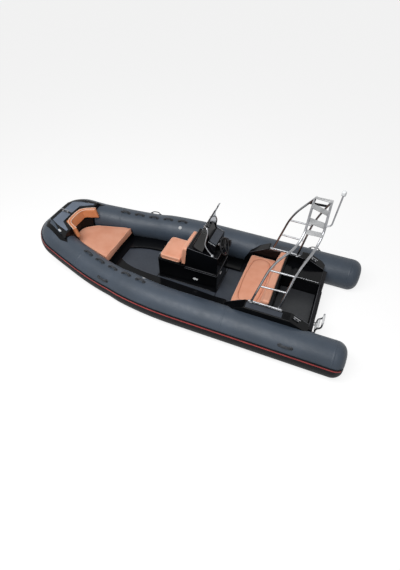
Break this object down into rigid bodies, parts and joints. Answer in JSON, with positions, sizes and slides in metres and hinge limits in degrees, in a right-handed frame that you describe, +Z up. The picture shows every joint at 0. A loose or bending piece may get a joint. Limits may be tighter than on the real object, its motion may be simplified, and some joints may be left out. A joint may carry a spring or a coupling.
{
  "type": "rigid inflatable boat",
  "caption": "Small rigid inflatable boat with a centre console, padded bench, bow seat, radar arch and an open transom for an outboard engine.",
  "frame": {"origin": "on the centreline at the waterline of the empty boat afloat, amidships", "axes": "+X forward to the bow, +Y to port, +Z up"},
  "size_m": [5.365, 2.3076, 2.7173],
  "materials": {
    "black_plastic": "matte",
    "collar_fabric": "matte coated fabric",
    "deck_gelcoat": "glossy gelcoat",
    "deck_pad": "matte, fine ribs",
    "gauge_glass": "glossy lens",
    "handle_rubber": "matte moulded",
    "hull_gelcoat": "glossy gelcoat",
    "lamp": "clear white lens",
    "screen": "clear acrylic, slightly smoked",
    "steel": "polished stainless",
    "strake_rubber": "matte",
    "stripe_red": "satin",
    "upholstery": "satin leatherette"
  },
  "bodies": {
    "boat": {"arch_cross_bar": "black_plastic", "arch_front_hoop": "steel", "arch_plates": "steel", "arch_rails": "steel", "arch_rear_hoop": "steel", "arch_rungs": "steel", "battery_switch": "black_plastic", "bench_backrest": "upholstery", "bench_box": "deck_gelcoat", "bench_bulkhead": "deck_gelcoat", "bench_cushion": "upholstery", "bow_backrest": "upholstery", "bow_cleat": "steel", "bow_cushion": "upholstery", "bow_eye": "steel", "bow_lights": "steel", "bow_locker": "deck_gelcoat", "bow_step": "deck_gelcoat", "bow_step_pads": "deck_pad", "carry_handles": "handle_rubber", "cleats": "steel", "console_backrest": "upholstery", "console_base": "deck_gelcoat", "console_body": "deck_gelcoat", "courtesy_lights": "steel", "deck_liner": "deck_gelcoat", "gauges": "gauge_glass", "grab_handles_port": "handle_rubber", "grab_handles_starboard": "handle_rubber", "helm": "black_plastic", "hull": "hull_gelcoat", "instrument_pod": "deck_gelcoat", "ladder_bracket": "steel", "light_pole": "steel", "red_stripe": "stripe_red", "rub_strake": "strake_rubber", "screen_rails": "steel", "seat_hinge": "steel", "side_box_pads": "deck_pad", "side_box_port": "deck_gelcoat", "side_box_starboard": "deck_gelcoat", "sole_pads": "deck_pad", "stern_light": "lamp", "throttle": "black_plastic", "transom": "hull_gelcoat", "tube_bow": "collar_fabric", "tube_port": "collar_fabric", "tube_starboard": "collar_fabric", "valves": "black_plastic", "well_locker": "deck_gelcoat", "well_pad": "deck_pad", "well_sole": "deck_gelcoat", "windscreen": "screen"},
    "wheel": {"steering_wheel": "black_plastic"},
    "seat_lid": {"console_seat_lid": "deck_gelcoat", "console_seat_cushion": "upholstery"},
    "ladder": {"boarding_ladder": "steel"}
  },
  "joints": [
    {"name": "steering", "type": "hinge", "parent": "boat", "child": "wheel", "pos_m": [-0.562, 0, 0.902], "axis": [-0.9135, 0, 0.4067], "range_deg": [-630, 630]},
    {"name": "seat_lid_hinge", "type": "hinge", "parent": "boat", "child": "seat_lid", "pos_m": [0.484, 0, 0.511], "axis": [0, 1, 0], "range_deg": [0, 85]},
    {"name": "ladder_hinge", "type": "hinge", "parent": "boat", "child": "ladder", "pos_m": [-2.182, 0.47, 0.216], "axis": [0, -1, 0], "range_deg": [0, 165]}
  ]
}
